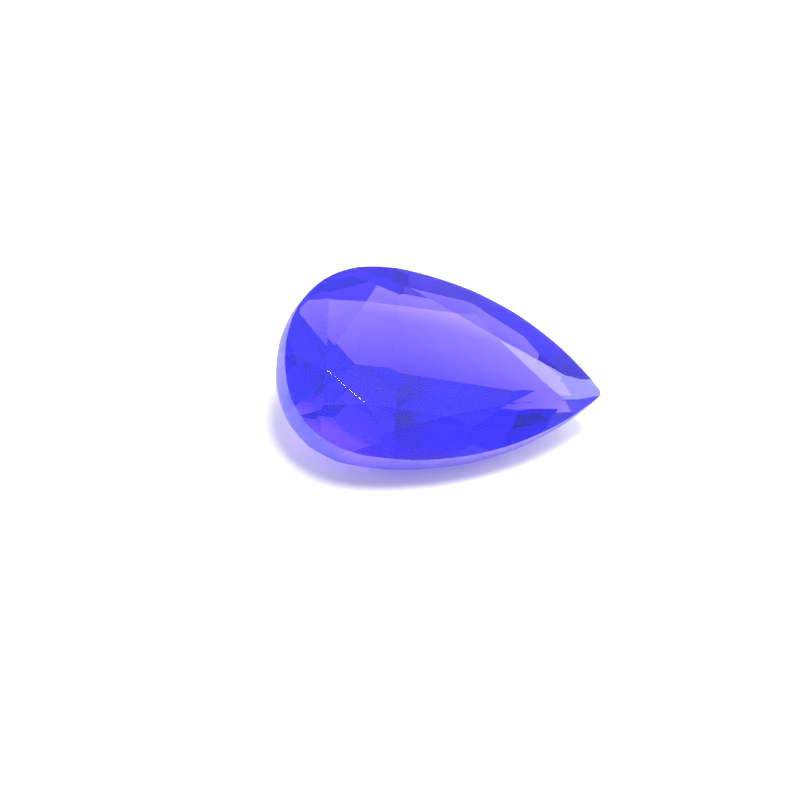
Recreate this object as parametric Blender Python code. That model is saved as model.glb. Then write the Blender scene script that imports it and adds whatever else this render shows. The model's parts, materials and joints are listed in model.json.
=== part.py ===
"""A pear-cut tanzanite with a thick girdle, lying on the pavilion facet below its near shoulder.

The stone is cut as a lapidary cuts one: a pear-shaped blank is ground flat after flat. Each flat is
set by its azimuth about the stone's axis, its angle to the girdle plane, and a point that it passes.
While the stone is cut, +Z is the table's normal, +X runs to the tip, the axis stands in the middle
of the widest line, and the girdle's upper edge is at Z = 0. It is then laid down on its rest facet.
"""

import math

import bmesh
import bpy
from mathutils import Quaternion, Vector

MM = 0.001

# The girdle's outline
LENGTH = 10.0 * MM
WIDTH = 6.35 * MM
BLUNT_LENGTH = 3.05 * MM  # from the widest line back to the blunt end
BLUNT_SQUARENESS = 2.2  # exponent of the blunt end's superellipse, where 2 is an ellipse
TIP_RADIUS = 0.2 * MM
BLUNT_STEPS = 40
SHOULDER_STEPS = 18
TIP_STEPS = 6

CROWN_HEIGHT = 0.55 * MM

# The girdle's thick, hand-rounded wall: depth under the crown's edge, and how far it has drawn in
WALL = ((0.0, 0.0), (0.8 * MM, 0.0), (1.05 * MM, 0.03 * MM), (1.45 * MM, 0.15 * MM))
WALL_FOOT = 1.2 * MM
WALL_FOOT_DRAWN_IN = 0.075 * MM
WALL_LEAN = 0.15  # it isn't ground square: how far it leans to the blunt end for each unit of depth

# The crown: the stars' azimuths with their reach from the axis at the table's level
STARS = (
    (180, 1.80 * MM),
    (152, 1.46 * MM),
    (91, 1.72 * MM),
    (66, 2.45 * MM),
    (52, 3.02 * MM),
    (-55, 3.12 * MM),
    (-70, 2.32 * MM),
    (-90, 1.68 * MM),
    (-125, 1.62 * MM),
)
CROWN_MAINS = (166, 120, 79, 59, 0, -62, -80, -108, -152)
CROWN_BREAKS = (180, 143, 100, 69, 50, 38, -38, -51, -71, -94, -130)
STAR_SLOPE = 0.68  # as a share of the slope from the table's edge straight to the girdle
BREAK_SLOPE = 1.45

# The pavilion: steep break facets under the girdle, then long mains that meet in the keel. The near
# mains are the shallower ones, so the keel lies a little past the axis, on the far side
PAVILION_BREAKS = (180, 156, 133, 112, 92, 78, 66, 54, 44, -44, -54, -66, -78, -92, -112, -133, -156)
PAVILION_BREAK_ANGLE = 60
REST_AZIMUTH = -67.3
REST_ANGLE = 28.3
PAVILION_MAINS = (  # azimuth, angle, depth at which the flat crosses the stone's axis
    (REST_AZIMUTH, REST_ANGLE, 3.60 * MM),
    (67, 36.0, 4.15 * MM),
    (-114, 28.0, 3.26 * MM),
    (116, 36.0, 3.82 * MM),
    (180, 38.0, 3.84 * MM),
    (50, 40.0, 5.35 * MM),
    (-50, 36.0, 4.72 * MM),
)

MERGE = 0.002 * MM
TOUCHING = 0.0002 * MM


def outline(depth, drawn_in):
    """The wall's outline at a depth, anticlockwise from the widest line, drawn in all round by this much."""
    half = WIDTH / 2
    point_length = LENGTH - BLUNT_LENGTH
    tip_centre = point_length - TIP_RADIUS
    shoulder = (tip_centre**2 + half**2 - TIP_RADIUS**2) / (WIDTH - 2 * TIP_RADIUS)
    end = math.asin(tip_centre / (shoulder - TIP_RADIUS))
    points = []
    for step in range(BLUNT_STEPS):
        turn = math.pi / 2 + math.pi * step / BLUNT_STEPS
        along, across = math.cos(turn), math.sin(turn)
        x = math.copysign(abs(along) ** (2 / BLUNT_SQUARENESS), along) * (BLUNT_LENGTH - drawn_in)
        y = math.copysign(abs(across) ** (2 / BLUNT_SQUARENESS), across) * (half - drawn_in)
        points.append((x, y))
    radius = shoulder - drawn_in
    near_shoulder = []
    for step in range(SHOULDER_STEPS):
        turn = end * step / SHOULDER_STEPS
        near_shoulder.append((radius * math.sin(turn), shoulder - half - radius * math.cos(turn)))
    points += near_shoulder
    for step in range(TIP_STEPS + 1):
        turn = (math.pi / 2 - end) * (2 * step / TIP_STEPS - 1)
        tip = TIP_RADIUS - drawn_in
        points.append((tip_centre + tip * math.cos(turn), tip * math.sin(turn)))
    points += [(x, -y) for x, y in reversed(near_shoulder[1:])]
    return [(x - WALL_LEAN * depth, y) for x, y in points]


def reach(points, azimuth):
    """How far these points reach from the axis towards the azimuth."""
    turn = math.radians(azimuth)
    return max(x * math.cos(turn) + y * math.sin(turn) for x, y in points)


def make_blank():
    """The pear-shaped blank: the girdle's wall, carried up to the table and down past the keel."""
    stone = bmesh.new()
    keel_depth = max(depth for _, _, depth in PAVILION_MAINS)
    levels = [(-CROWN_HEIGHT, 0.0), *WALL[1:], (keel_depth, WALL[-1][1])]
    rings = []
    for depth, drawn_in in levels:
        corners = [stone.verts.new((x, y, -depth)) for x, y in outline(depth, drawn_in)]
        rings.append([stone.edges.new(pair) for pair in zip(corners, corners[1:] + corners[:1])])
    for upper, lower in zip(rings, rings[1:]):
        bmesh.ops.bridge_loops(stone, edges=upper + lower)
    for face in stone.faces:
        face.smooth = True
    bmesh.ops.edgeloop_fill(stone, edges=rings[0])
    bmesh.ops.edgeloop_fill(stone, edges=rings[-1])
    bmesh.ops.recalc_face_normals(stone, faces=stone.faces[:])
    return stone


def grind(stone, azimuth, slope_angle, distance, level, side):
    """Grinds one flat through the point at this distance and level; side is 1 above the girdle, -1 below."""
    turn = math.radians(azimuth)
    tilt = math.radians(slope_angle)
    outwards = Vector((math.cos(turn), math.sin(turn), 0.0))
    normal = outwards * math.sin(tilt) + Vector((0.0, 0.0, side * math.cos(tilt)))
    everything = stone.verts[:] + stone.edges[:] + stone.faces[:]
    ground = bmesh.ops.bisect_plane(
        stone,
        geom=everything,
        dist=TOUCHING,
        plane_co=outwards * distance + Vector((0.0, 0.0, level)),
        plane_no=normal,
        clear_outer=True,
    )
    rim = [item for item in ground["geom_cut"] if isinstance(item, bmesh.types.BMEdge)]
    if rim:
        bmesh.ops.edgeloop_fill(stone, edges=rim)


def grind_crown(stone):
    """Stars, then mains from the table's corners to the girdle, then steeper breaks along the girdle."""
    girdle = outline(*WALL[0])
    top = CROWN_HEIGHT - TOUCHING

    def slope(azimuth, table_reach):
        return CROWN_HEIGHT / (reach(girdle, azimuth) - table_reach)

    for azimuth, table_reach in STARS:
        angle = math.degrees(math.atan(STAR_SLOPE * slope(azimuth, table_reach)))
        grind(stone, azimuth, angle, table_reach, CROWN_HEIGHT, 1)
    table = [(vert.co.x, vert.co.y) for vert in stone.verts if vert.co.z > top]
    for azimuth in CROWN_MAINS:
        angle = math.degrees(math.atan(slope(azimuth, reach(table, azimuth))))
        grind(stone, azimuth, angle, reach(girdle, azimuth), 0.0, 1)
    for azimuth in CROWN_BREAKS:
        angle = math.degrees(math.atan(BREAK_SLOPE * slope(azimuth, reach(table, azimuth))))
        grind(stone, azimuth, angle, reach(girdle, azimuth), 0.0, 1)


def grind_pavilion(stone):
    foot = outline(WALL_FOOT, WALL_FOOT_DRAWN_IN)
    for azimuth, angle, depth in PAVILION_MAINS:
        grind(stone, azimuth, angle, 0.0, -depth, -1)
    for azimuth in PAVILION_BREAKS:
        grind(stone, azimuth, PAVILION_BREAK_ANGLE, reach(foot, azimuth), -WALL_FOOT, -1)


def make_tanzanite_material():
    material = bpy.data.materials.new("tanzanite")
    material.use_nodes = True
    shader = material.node_tree.nodes["Principled BSDF"]
    shader.inputs["Base Color"].default_value = (0.09, 0.035, 0.75, 1.0)
    shader.inputs["Metallic"].default_value = 0.0
    shader.inputs["Roughness"].default_value = 0.03
    shader.inputs["IOR"].default_value = 1.69
    shader.inputs["Transmission Weight"].default_value = 1.0
    return material


def lay_down(gem):
    """Turns the stone onto its rest facet with its tip towards +X, and centres it over the origin."""
    turn = math.radians(REST_AZIMUTH)
    tilt = math.radians(REST_ANGLE)
    rest_normal = Vector(
        (math.sin(tilt) * math.cos(turn), math.sin(tilt) * math.sin(turn), -math.cos(tilt))
    )
    tip_over = rest_normal.rotation_difference(Vector((0.0, 0.0, -1.0)))
    towards_tip = tip_over @ Vector((1.0, 0.0, 0.0))
    swing = Quaternion((0.0, 0.0, 1.0), -math.atan2(towards_tip.y, towards_tip.x))
    gem.rotation_mode = "QUATERNION"
    gem.rotation_quaternion = swing @ tip_over
    corners = [gem.rotation_quaternion @ vert.co for vert in gem.data.vertices]
    for axis in (0, 1):
        spread = [corner[axis] for corner in corners]
        gem.location[axis] = -(min(spread) + max(spread)) / 2
    gem.location[2] = -min(corner.z for corner in corners)


def main():
    for thing in list(bpy.data.objects):
        bpy.data.objects.remove(thing)
    collection = bpy.data.collections.new("pear_cut_tanzanite")
    bpy.context.scene.collection.children.link(collection)

    stone = make_blank()
    grind_crown(stone)
    grind_pavilion(stone)
    bmesh.ops.remove_doubles(stone, verts=stone.verts[:], dist=MERGE)
    bmesh.ops.dissolve_degenerate(stone, edges=stone.edges[:], dist=MERGE)
    bmesh.ops.recalc_face_normals(stone, faces=stone.faces[:])
    mesh = bpy.data.meshes.new("tanzanite")
    stone.to_mesh(mesh)
    stone.free()

    gem = bpy.data.objects.new("tanzanite", mesh)
    gem.data.materials.append(make_tanzanite_material())
    collection.objects.link(gem)
    lay_down(gem)


main()
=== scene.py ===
import json
import math

import bmesh
import bpy
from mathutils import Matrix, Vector


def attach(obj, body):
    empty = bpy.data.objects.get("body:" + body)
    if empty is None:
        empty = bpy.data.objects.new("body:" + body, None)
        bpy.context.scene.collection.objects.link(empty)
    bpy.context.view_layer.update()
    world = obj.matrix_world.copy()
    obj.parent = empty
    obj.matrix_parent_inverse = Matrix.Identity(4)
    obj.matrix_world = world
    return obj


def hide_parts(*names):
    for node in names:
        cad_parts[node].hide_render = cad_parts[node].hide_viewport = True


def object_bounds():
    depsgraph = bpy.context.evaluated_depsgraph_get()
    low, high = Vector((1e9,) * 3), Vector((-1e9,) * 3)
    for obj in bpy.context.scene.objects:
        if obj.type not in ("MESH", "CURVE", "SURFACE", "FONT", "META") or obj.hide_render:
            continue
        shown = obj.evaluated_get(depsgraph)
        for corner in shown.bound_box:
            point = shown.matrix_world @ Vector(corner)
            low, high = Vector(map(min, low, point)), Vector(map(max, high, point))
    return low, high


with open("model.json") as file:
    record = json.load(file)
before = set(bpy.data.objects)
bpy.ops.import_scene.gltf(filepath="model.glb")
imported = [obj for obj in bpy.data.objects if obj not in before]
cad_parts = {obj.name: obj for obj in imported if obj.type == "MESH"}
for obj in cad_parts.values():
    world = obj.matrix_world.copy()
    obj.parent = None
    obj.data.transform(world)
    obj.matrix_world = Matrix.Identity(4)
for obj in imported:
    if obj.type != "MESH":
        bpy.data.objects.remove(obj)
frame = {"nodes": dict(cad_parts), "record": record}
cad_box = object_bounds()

MM = 0.001

# The stone. A pear-cut tanzanite: one crystal of violet-blue zoisite, sawn, then ground and polished
# flat by flat. Its facets are glassy and meet in edges a hair wide; its girdle was left as ground,
# so the band is frosted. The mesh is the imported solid, its facets made whole again and its edges eased.

SAME_POINT = 0.0005 * MM
SAME_FACET = math.radians(0.4)
EDGE_EASE = 0.018 * MM
LEAST_EASED_ANGLE = math.radians(7)
WALL_UPRIGHTNESS = 0.5
TANZANITE_IOR = 1.69
FACET_TINT = (0.95, 0.93, 1.0, 1.0)
VIOLET_BLUE = (0.30, 0.06, 0.99, 1.0)
ABSORPTION_PER_METRE = 520
FROST_ROUGHNESS = 0.4
FROST_GRAINS_PER_METRE = 9000.0
FROST_DETAIL = 3.0
FROST_DEPTH = 0.02 * MM
FROST_STRENGTH = 0.5

table_normal = Vector(next(m for m in frame["record"]["mounts"] if m["name"] == "table")["axis"])


class Signal:
    """A shader value in Python arithmetic: each operator adds its Math node."""

    def __init__(self, finish, socket):
        self.finish = finish
        self.socket = socket

    def math(self, operation, first, second):
        return self.finish.node("ShaderNodeMath", {"operation": operation}, {0: first, 1: second})

    def __mul__(self, other):
        return self.math("MULTIPLY", self, other)

    __rmul__ = __mul__


class Finish:
    """The nodes of a material or of the room."""

    def __init__(self, owner):
        owner.use_nodes = True
        self.owner = owner
        self.tree = owner.node_tree
        self.tree.nodes.clear()

    def node(self, kind, settings=None, values=None, output=0):
        made = self.tree.nodes.new(kind)
        for name, setting in (settings or {}).items():
            if name == "stops":
                ramp = made.color_ramp
                while len(ramp.elements) < len(setting):
                    ramp.elements.new(0.5)
                for element, (position, grey) in zip(ramp.elements, setting):
                    element.position = position
                    element.color = (grey, grey, grey, 1.0)
            else:
                setattr(made, name, setting)
        for name, value in (values or {}).items():
            if isinstance(value, Signal):
                self.tree.links.new(value.socket, made.inputs[name])
            else:
                made.inputs[name].default_value = value
        return Signal(self, made.outputs[output]) if made.outputs else None


def stone_mesh(node):
    """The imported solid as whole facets, with the frosted girdle marked and the facet edges eased."""
    stone = bmesh.new()
    stone.from_mesh(node.data)
    bmesh.ops.remove_doubles(stone, verts=stone.verts[:], dist=SAME_POINT)
    bmesh.ops.dissolve_limit(
        stone, angle_limit=SAME_FACET, verts=stone.verts[:], edges=stone.edges[:]
    )
    frosted = stone.faces.layers.float.new("frosted")
    for face in stone.faces:
        upright = abs(face.normal.dot(table_normal)) < WALL_UPRIGHTNESS
        face[frosted] = 1.0 if upright else 0.0
        face.smooth = upright
    sharp = [
        edge
        for edge in stone.edges
        if edge.calc_face_angle(0) > LEAST_EASED_ANGLE
        and not all(face[frosted] for face in edge.link_faces)
    ]
    bmesh.ops.bevel(
        stone,
        geom=sharp,
        offset=EDGE_EASE,
        offset_type="OFFSET",
        segments=1,
        profile=0.5,
        affect="EDGES",
        clamp_overlap=True,
        material=-1,
    )
    mesh = bpy.data.meshes.new("cut_stone")
    stone.to_mesh(mesh)
    stone.free()
    return mesh


def tanzanite_finish():
    finish = Finish(bpy.data.materials.new("tanzanite"))
    frosted = finish.node("ShaderNodeAttribute", {"attribute_name": "frosted"}, output="Fac")
    place = finish.node("ShaderNodeTexCoord", output="Object")
    grain = finish.node(
        "ShaderNodeTexNoise",
        None,
        {"Vector": place, "Scale": FROST_GRAINS_PER_METRE, "Detail": FROST_DETAIL},
    )
    bump = finish.node(
        "ShaderNodeBump",
        None,
        {"Strength": FROST_STRENGTH, "Distance": FROST_DEPTH, "Height": grain * frosted},
    )
    clear = finish.node(
        "ShaderNodeBsdfPrincipled",
        None,
        {
            "Base Color": FACET_TINT,
            "Roughness": frosted * FROST_ROUGHNESS,
            "IOR": TANZANITE_IOR,
            "Transmission Weight": 1.0,
            "Normal": bump,
        },
    )
    depth = finish.node(
        "ShaderNodeVolumeAbsorption", None, {"Color": VIOLET_BLUE, "Density": ABSORPTION_PER_METRE}
    )
    finish.node("ShaderNodeOutputMaterial", None, {"Surface": clear, "Volume": depth})
    return finish.owner


gem = bpy.data.objects.new("cut_stone", stone_mesh(frame["nodes"]["tanzanite"]))
bpy.context.scene.collection.objects.link(gem)
gem.data.materials.append(tanzanite_finish())
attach(gem, "root")
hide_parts("tanzanite")

# The floor. A wide plain white sheet, matt.

FLOOR_HALF = 1.5
AIR_GAP = 0.01 * MM  # between the sheet and the facet that the stone lies on
SHEET_WHITE = (0.9, 0.9, 0.9, 1.0)
SHEET_ROUGHNESS = 0.9

floor_mesh = bmesh.new()
bmesh.ops.create_grid(floor_mesh, x_segments=1, y_segments=1, size=FLOOR_HALF)
bmesh.ops.translate(floor_mesh, verts=floor_mesh.verts[:], vec=(0.0, 0.0, -AIR_GAP))
floor_data = bpy.data.meshes.new("white_sheet")
floor_mesh.to_mesh(floor_data)
floor_mesh.free()
floor = bpy.data.objects.new("white_sheet", floor_data)
bpy.context.scene.collection.objects.link(floor)
paper = Finish(bpy.data.materials.new("white_sheet"))
matt = paper.node(
    "ShaderNodeBsdfPrincipled", None, {"Base Color": SHEET_WHITE, "Roughness": SHEET_ROUGHNESS}
)
paper.node("ShaderNodeOutputMaterial", None, {"Surface": matt})
floor.data.materials.append(paper.owner)

# Light. A white room, dimmer part of the way up, with a soft round lamp almost overhead and a
# broad one low on the right.

ROOM_GREYS = ((0.15, 1.1), (0.45, 0.6), (1.0, 1.0))  # height on a unit sphere, brightness
ROOM_STRENGTH = 1.0
LAMP_DISTANCE = 0.5
OVERHEAD_FROM = Vector((0.15, -0.21, 0.966))
OVERHEAD_RADIUS = 0.08
OVERHEAD_RADIANCE = 40.0
SIDE_FROM = Vector((0.80, 0.22, 0.56))
SIDE_RADIUS = 0.2
SIDE_RADIANCE = 4.0

room = Finish(bpy.data.worlds.new("room"))
heading = room.node("ShaderNodeTexCoord", output="Generated")
height = room.node("ShaderNodeSeparateXYZ", None, {0: heading}, output="Z")
walls = room.node("ShaderNodeValToRGB", {"stops": ROOM_GREYS}, {"Fac": height}, output="Color")
glow = room.node("ShaderNodeBackground", None, {"Color": walls, "Strength": ROOM_STRENGTH})
room.node("ShaderNodeOutputWorld", None, {"Surface": glow})
bpy.context.scene.world = room.owner


def add_lamp(name, direction, radius, radiance):
    lamp = bpy.data.objects.new(name, bpy.data.lights.new(name, "AREA"))
    bpy.context.scene.collection.objects.link(lamp)
    lamp.data.shape = "DISK"
    lamp.data.size = 2 * radius
    lamp.data.energy = radiance * math.pi * math.pi * radius**2
    lamp.location = direction.normalized() * LAMP_DISTANCE
    lamp.rotation_euler = direction.to_track_quat("Z", "Y").to_euler()


add_lamp("overhead", OVERHEAD_FROM, OVERHEAD_RADIUS, OVERHEAD_RADIANCE)
add_lamp("side", SIDE_FROM, SIDE_RADIUS, SIDE_RADIANCE)

# Camera. A long lens from the front, looking down at the stone as it lies.

CAMERA_AZIMUTH = math.radians(0.71)
CAMERA_ELEVATION = math.radians(42.98)
CAMERA_DISTANCE = 0.2
SENSOR_WIDTH = 36.0
NEAREST_SEEN = 0.01
FARTHEST_SEEN = 10.0
PIXELS_PER_METRE = 32000
PICTURE = 800
STONE_CENTRE_PIXEL = (438.4, 376.3)
GEM_BOUNCES = 24
MIRROR_BOUNCES = 8

lowest, highest = cad_box
centre = (lowest + highest) / 2
back = Vector(
    (
        math.sin(CAMERA_AZIMUTH) * math.cos(CAMERA_ELEVATION),
        -math.cos(CAMERA_AZIMUTH) * math.cos(CAMERA_ELEVATION),
        math.sin(CAMERA_ELEVATION),
    )
)
right = Vector((math.cos(CAMERA_AZIMUTH), math.sin(CAMERA_AZIMUTH), 0.0))
up = back.cross(right)
aside = (PICTURE / 2 - STONE_CENTRE_PIXEL[0]) / PIXELS_PER_METRE
above = (STONE_CENTRE_PIXEL[1] - PICTURE / 2) / PIXELS_PER_METRE
camera = bpy.data.objects.new("camera", bpy.data.cameras.new("camera"))
bpy.context.scene.collection.objects.link(camera)
camera.data.sensor_width = SENSOR_WIDTH
camera.data.lens = SENSOR_WIDTH * CAMERA_DISTANCE * PIXELS_PER_METRE / PICTURE
camera.data.clip_start = NEAREST_SEEN
camera.data.clip_end = FARTHEST_SEEN
camera.location = centre + right * aside + up * above + back * CAMERA_DISTANCE
camera.rotation_euler = back.to_track_quat("Z", "Y").to_euler()
bpy.context.scene.camera = camera

scene = bpy.context.scene
scene.view_settings.view_transform = "Standard"
scene.cycles.max_bounces = GEM_BOUNCES
scene.cycles.transmission_bounces = GEM_BOUNCES
scene.cycles.glossy_bounces = MIRROR_BOUNCES
